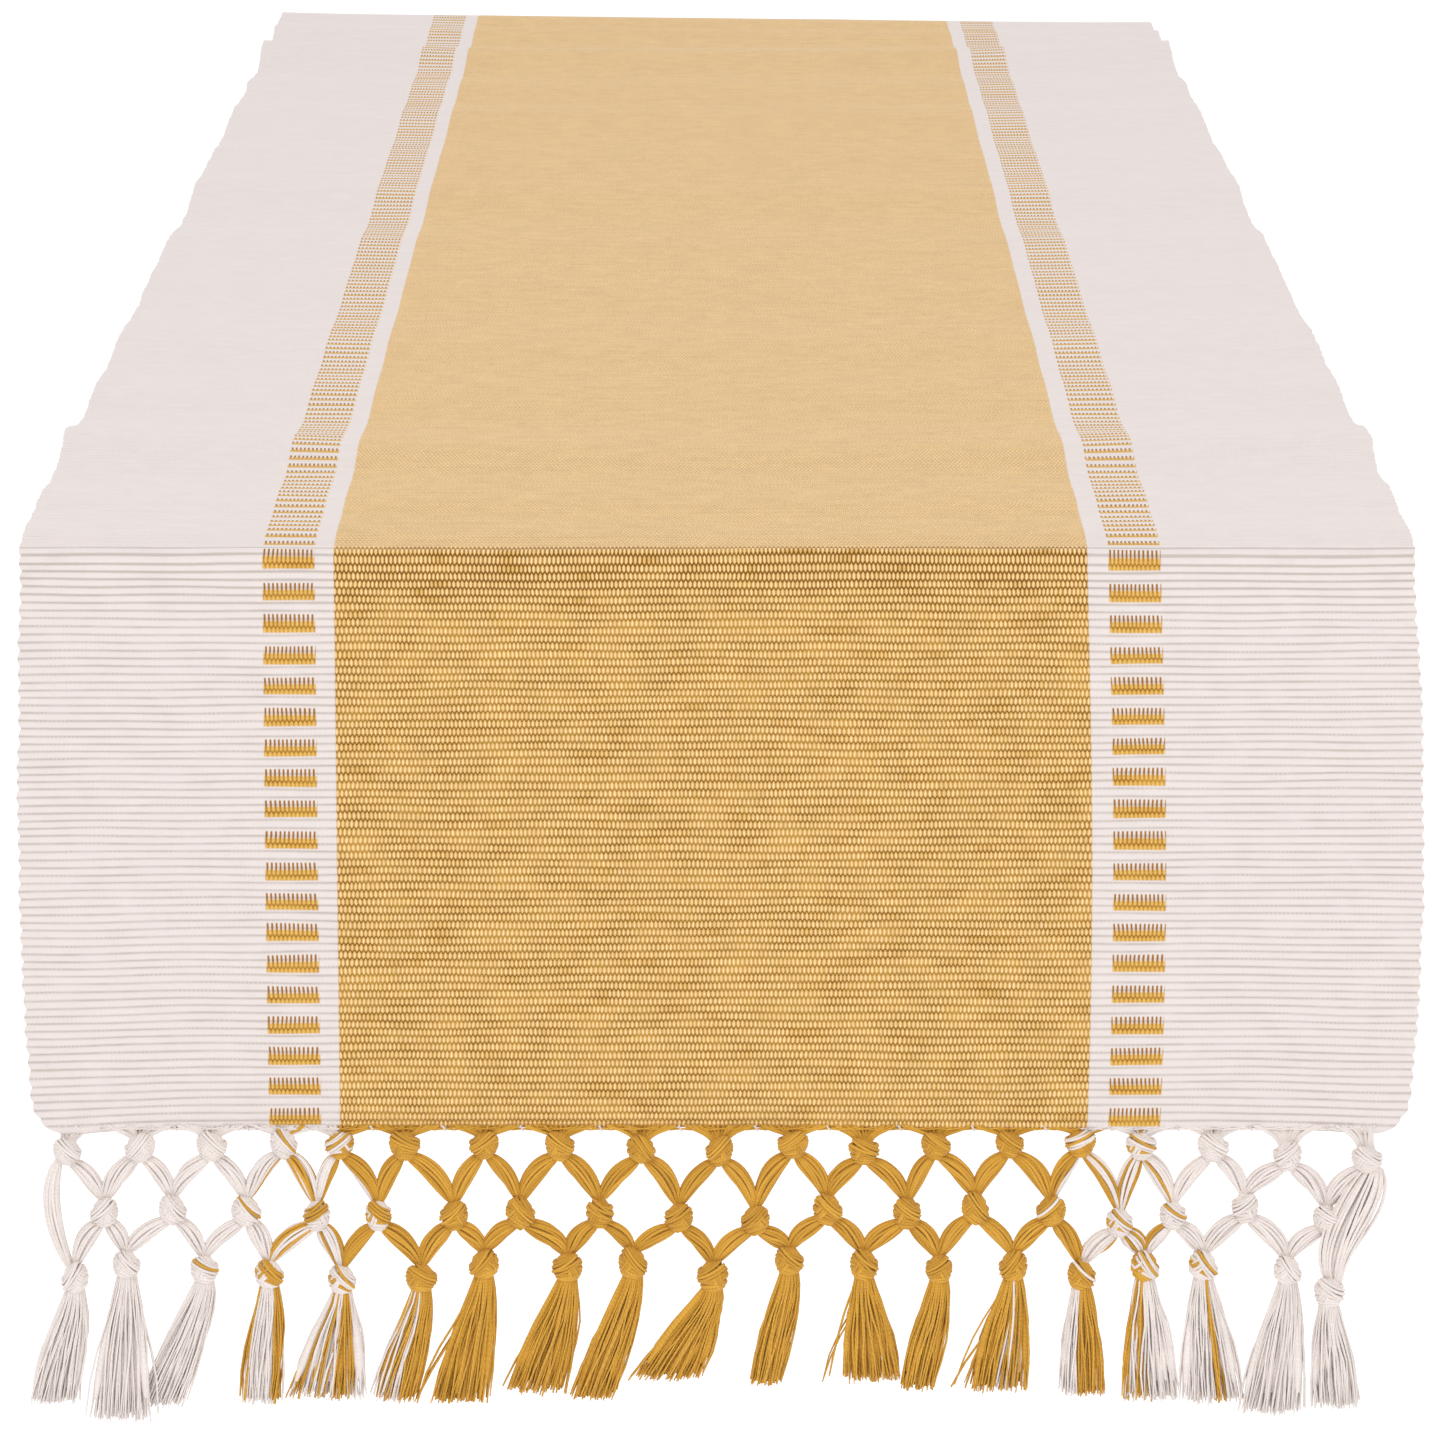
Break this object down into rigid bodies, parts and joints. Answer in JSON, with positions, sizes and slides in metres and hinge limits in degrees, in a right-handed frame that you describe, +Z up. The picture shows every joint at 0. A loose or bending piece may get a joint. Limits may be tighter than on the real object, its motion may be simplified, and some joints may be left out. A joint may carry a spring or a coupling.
{
  "type": "table runner",
  "caption": "Long ribbed cotton table runner in cream and mustard gold, hanging over both table ends, with a knotted net fringe and tassels.",
  "frame": {"origin": "centre of the cloth's underside where it lies on the table top", "axes": "+Z up from the table top, Y along the runner with the front end at -Y, X across its width"},
  "size_m": [0.381, 1.5182, 0.2393],
  "materials": {
    "ribbed_cloth": "warp-faced ribbed weave, cream bands and mustard gold middle",
    "cream_cotton": "soft matt cotton yarn, cream",
    "gold_cotton": "soft matt cotton yarn, mustard gold",
    "mixed_cotton": "soft matt cotton yarns, cream and mustard gold together"
  },
  "bodies": {
    "top": {"table_panel": "ribbed_cloth", "front_fold": "ribbed_cloth", "rear_fold": "ribbed_cloth"},
    "front_drop": {"front_drop_panel": "ribbed_cloth", "front_hem_gathers": "mixed_cotton"},
    "front_net": {"front_first_row_knots": "mixed_cotton", "front_upper_strands": "mixed_cotton", "front_second_row_knots": "mixed_cotton", "front_lower_strands": "mixed_cotton", "front_outer_strands": "cream_cotton"},
    "front_tassel_01": {"front_tassel_01": "cream_cotton"},
    "front_tassel_02": {"front_tassel_02": "cream_cotton"},
    "front_tassel_03": {"front_tassel_03": "cream_cotton"},
    "front_tassel_04": {"front_tassel_04": "mixed_cotton"},
    "front_tassel_05": {"front_tassel_05": "mixed_cotton"},
    "front_tassel_06": {"front_tassel_06": "mixed_cotton"},
    "front_tassel_07": {"front_tassel_07": "gold_cotton"},
    "front_tassel_08": {"front_tassel_08": "gold_cotton"},
    "front_tassel_09": {"front_tassel_09": "gold_cotton"},
    "front_tassel_10": {"front_tassel_10": "gold_cotton"},
    "front_tassel_11": {"front_tassel_11": "gold_cotton"},
    "front_tassel_12": {"front_tassel_12": "gold_cotton"},
    "front_tassel_13": {"front_tassel_13": "gold_cotton"},
    "front_tassel_14": {"front_tassel_14": "gold_cotton"},
    "front_tassel_15": {"front_tassel_15": "mixed_cotton"},
    "front_tassel_16": {"front_tassel_16": "mixed_cotton"},
    "front_tassel_17": {"front_tassel_17": "mixed_cotton"},
    "front_tassel_18": {"front_tassel_18": "cream_cotton"},
    "front_tassel_19": {"front_tassel_19": "cream_cotton"},
    "rear_drop": {"rear_drop_panel": "ribbed_cloth", "rear_hem_gathers": "mixed_cotton"},
    "rear_net": {"rear_first_row_knots": "mixed_cotton", "rear_upper_strands": "mixed_cotton", "rear_second_row_knots": "mixed_cotton", "rear_lower_strands": "mixed_cotton", "rear_outer_strands": "cream_cotton"},
    "rear_tassel_01": {"rear_tassel_01": "cream_cotton"},
    "rear_tassel_02": {"rear_tassel_02": "cream_cotton"},
    "rear_tassel_03": {"rear_tassel_03": "cream_cotton"},
    "rear_tassel_04": {"rear_tassel_04": "mixed_cotton"},
    "rear_tassel_05": {"rear_tassel_05": "mixed_cotton"},
    "rear_tassel_06": {"rear_tassel_06": "mixed_cotton"},
    "rear_tassel_07": {"rear_tassel_07": "gold_cotton"},
    "rear_tassel_08": {"rear_tassel_08": "gold_cotton"},
    "rear_tassel_09": {"rear_tassel_09": "gold_cotton"},
    "rear_tassel_10": {"rear_tassel_10": "gold_cotton"},
    "rear_tassel_11": {"rear_tassel_11": "gold_cotton"},
    "rear_tassel_12": {"rear_tassel_12": "gold_cotton"},
    "rear_tassel_13": {"rear_tassel_13": "gold_cotton"},
    "rear_tassel_14": {"rear_tassel_14": "gold_cotton"},
    "rear_tassel_15": {"rear_tassel_15": "mixed_cotton"},
    "rear_tassel_16": {"rear_tassel_16": "mixed_cotton"},
    "rear_tassel_17": {"rear_tassel_17": "mixed_cotton"},
    "rear_tassel_18": {"rear_tassel_18": "cream_cotton"},
    "rear_tassel_19": {"rear_tassel_19": "cream_cotton"}
  },
  "joints": [
    {"name": "front_drop_lift", "type": "hinge", "parent": "top", "child": "front_drop", "pos_m": [0, -0.75179, -0.002], "axis": [-1, 0, 0], "range_deg": [0, 90], "deforming": ["front_fold"]},
    {"name": "front_net_swing", "type": "hinge", "parent": "front_drop", "child": "front_net", "pos_m": [0, -0.75479, -0.1665], "axis": [-1, 0, 0], "range_deg": [-60, 60]},
    {"name": "front_tassel_01_swing", "type": "hinge", "parent": "front_net", "child": "front_tassel_01", "pos_m": [0, -0.75479, -0.2013], "axis": [-1, 0, 0], "range_deg": [-60, 60]},
    {"name": "front_tassel_02_swing", "type": "hinge", "parent": "front_net", "child": "front_tassel_02", "pos_m": [0, -0.75479, -0.2013], "axis": [-1, 0, 0], "range_deg": [-60, 60]},
    {"name": "front_tassel_03_swing", "type": "hinge", "parent": "front_net", "child": "front_tassel_03", "pos_m": [0, -0.75479, -0.2013], "axis": [-1, 0, 0], "range_deg": [-60, 60]},
    {"name": "front_tassel_04_swing", "type": "hinge", "parent": "front_net", "child": "front_tassel_04", "pos_m": [0, -0.75479, -0.2013], "axis": [-1, 0, 0], "range_deg": [-60, 60]},
    {"name": "front_tassel_05_swing", "type": "hinge", "parent": "front_net", "child": "front_tassel_05", "pos_m": [0, -0.75479, -0.2013], "axis": [-1, 0, 0], "range_deg": [-60, 60]},
    {"name": "front_tassel_06_swing", "type": "hinge", "parent": "front_net", "child": "front_tassel_06", "pos_m": [0, -0.75479, -0.2013], "axis": [-1, 0, 0], "range_deg": [-60, 60]},
    {"name": "front_tassel_07_swing", "type": "hinge", "parent": "front_net", "child": "front_tassel_07", "pos_m": [0, -0.75479, -0.2013], "axis": [-1, 0, 0], "range_deg": [-60, 60]},
    {"name": "front_tassel_08_swing", "type": "hinge", "parent": "front_net", "child": "front_tassel_08", "pos_m": [0, -0.75479, -0.2013], "axis": [-1, 0, 0], "range_deg": [-60, 60]},
    {"name": "front_tassel_09_swing", "type": "hinge", "parent": "front_net", "child": "front_tassel_09", "pos_m": [0, -0.75479, -0.2013], "axis": [-1, 0, 0], "range_deg": [-60, 60]},
    {"name": "front_tassel_10_swing", "type": "hinge", "parent": "front_net", "child": "front_tassel_10", "pos_m": [0, -0.75479, -0.2013], "axis": [-1, 0, 0], "range_deg": [-60, 60]},
    {"name": "front_tassel_11_swing", "type": "hinge", "parent": "front_net", "child": "front_tassel_11", "pos_m": [0, -0.75479, -0.2013], "axis": [-1, 0, 0], "range_deg": [-60, 60]},
    {"name": "front_tassel_12_swing", "type": "hinge", "parent": "front_net", "child": "front_tassel_12", "pos_m": [0, -0.75479, -0.2013], "axis": [-1, 0, 0], "range_deg": [-60, 60]},
    {"name": "front_tassel_13_swing", "type": "hinge", "parent": "front_net", "child": "front_tassel_13", "pos_m": [0, -0.75479, -0.2013], "axis": [-1, 0, 0], "range_deg": [-60, 60]},
    {"name": "front_tassel_14_swing", "type": "hinge", "parent": "front_net", "child": "front_tassel_14", "pos_m": [0, -0.75479, -0.2013], "axis": [-1, 0, 0], "range_deg": [-60, 60]},
    {"name": "front_tassel_15_swing", "type": "hinge", "parent": "front_net", "child": "front_tassel_15", "pos_m": [0, -0.75479, -0.2013], "axis": [-1, 0, 0], "range_deg": [-60, 60]},
    {"name": "front_tassel_16_swing", "type": "hinge", "parent": "front_net", "child": "front_tassel_16", "pos_m": [0, -0.75479, -0.2013], "axis": [-1, 0, 0], "range_deg": [-60, 60]},
    {"name": "front_tassel_17_swing", "type": "hinge", "parent": "front_net", "child": "front_tassel_17", "pos_m": [0, -0.75479, -0.2013], "axis": [-1, 0, 0], "range_deg": [-60, 60]},
    {"name": "front_tassel_18_swing", "type": "hinge", "parent": "front_net", "child": "front_tassel_18", "pos_m": [0, -0.75479, -0.2013], "axis": [-1, 0, 0], "range_deg": [-60, 60]},
    {"name": "front_tassel_19_swing", "type": "hinge", "parent": "front_net", "child": "front_tassel_19", "pos_m": [0, -0.75479, -0.2013], "axis": [-1, 0, 0], "range_deg": [-60, 60]},
    {"name": "rear_drop_lift", "type": "hinge", "parent": "top", "child": "rear_drop", "pos_m": [0, 0.75179, -0.002], "axis": [1, 0, 0], "range_deg": [0, 90], "deforming": ["rear_fold"]},
    {"name": "rear_net_swing", "type": "hinge", "parent": "rear_drop", "child": "rear_net", "pos_m": [0, 0.75479, -0.1665], "axis": [1, 0, 0], "range_deg": [-60, 60]},
    {"name": "rear_tassel_01_swing", "type": "hinge", "parent": "rear_net", "child": "rear_tassel_01", "pos_m": [0, 0.75479, -0.2013], "axis": [1, 0, 0], "range_deg": [-60, 60]},
    {"name": "rear_tassel_02_swing", "type": "hinge", "parent": "rear_net", "child": "rear_tassel_02", "pos_m": [0, 0.75479, -0.2013], "axis": [1, 0, 0], "range_deg": [-60, 60]},
    {"name": "rear_tassel_03_swing", "type": "hinge", "parent": "rear_net", "child": "rear_tassel_03", "pos_m": [0, 0.75479, -0.2013], "axis": [1, 0, 0], "range_deg": [-60, 60]},
    {"name": "rear_tassel_04_swing", "type": "hinge", "parent": "rear_net", "child": "rear_tassel_04", "pos_m": [0, 0.75479, -0.2013], "axis": [1, 0, 0], "range_deg": [-60, 60]},
    {"name": "rear_tassel_05_swing", "type": "hinge", "parent": "rear_net", "child": "rear_tassel_05", "pos_m": [0, 0.75479, -0.2013], "axis": [1, 0, 0], "range_deg": [-60, 60]},
    {"name": "rear_tassel_06_swing", "type": "hinge", "parent": "rear_net", "child": "rear_tassel_06", "pos_m": [0, 0.75479, -0.2013], "axis": [1, 0, 0], "range_deg": [-60, 60]},
    {"name": "rear_tassel_07_swing", "type": "hinge", "parent": "rear_net", "child": "rear_tassel_07", "pos_m": [0, 0.75479, -0.2013], "axis": [1, 0, 0], "range_deg": [-60, 60]},
    {"name": "rear_tassel_08_swing", "type": "hinge", "parent": "rear_net", "child": "rear_tassel_08", "pos_m": [0, 0.75479, -0.2013], "axis": [1, 0, 0], "range_deg": [-60, 60]},
    {"name": "rear_tassel_09_swing", "type": "hinge", "parent": "rear_net", "child": "rear_tassel_09", "pos_m": [0, 0.75479, -0.2013], "axis": [1, 0, 0], "range_deg": [-60, 60]},
    {"name": "rear_tassel_10_swing", "type": "hinge", "parent": "rear_net", "child": "rear_tassel_10", "pos_m": [0, 0.75479, -0.2013], "axis": [1, 0, 0], "range_deg": [-60, 60]},
    {"name": "rear_tassel_11_swing", "type": "hinge", "parent": "rear_net", "child": "rear_tassel_11", "pos_m": [0, 0.75479, -0.2013], "axis": [1, 0, 0], "range_deg": [-60, 60]},
    {"name": "rear_tassel_12_swing", "type": "hinge", "parent": "rear_net", "child": "rear_tassel_12", "pos_m": [0, 0.75479, -0.2013], "axis": [1, 0, 0], "range_deg": [-60, 60]},
    {"name": "rear_tassel_13_swing", "type": "hinge", "parent": "rear_net", "child": "rear_tassel_13", "pos_m": [0, 0.75479, -0.2013], "axis": [1, 0, 0], "range_deg": [-60, 60]},
    {"name": "rear_tassel_14_swing", "type": "hinge", "parent": "rear_net", "child": "rear_tassel_14", "pos_m": [0, 0.75479, -0.2013], "axis": [1, 0, 0], "range_deg": [-60, 60]},
    {"name": "rear_tassel_15_swing", "type": "hinge", "parent": "rear_net", "child": "rear_tassel_15", "pos_m": [0, 0.75479, -0.2013], "axis": [1, 0, 0], "range_deg": [-60, 60]},
    {"name": "rear_tassel_16_swing", "type": "hinge", "parent": "rear_net", "child": "rear_tassel_16", "pos_m": [0, 0.75479, -0.2013], "axis": [1, 0, 0], "range_deg": [-60, 60]},
    {"name": "rear_tassel_17_swing", "type": "hinge", "parent": "rear_net", "child": "rear_tassel_17", "pos_m": [0, 0.75479, -0.2013], "axis": [1, 0, 0], "range_deg": [-60, 60]},
    {"name": "rear_tassel_18_swing", "type": "hinge", "parent": "rear_net", "child": "rear_tassel_18", "pos_m": [0, 0.75479, -0.2013], "axis": [1, 0, 0], "range_deg": [-60, 60]},
    {"name": "rear_tassel_19_swing", "type": "hinge", "parent": "rear_net", "child": "rear_tassel_19", "pos_m": [0, 0.75479, -0.2013], "axis": [1, 0, 0], "range_deg": [-60, 60]}
  ]
}
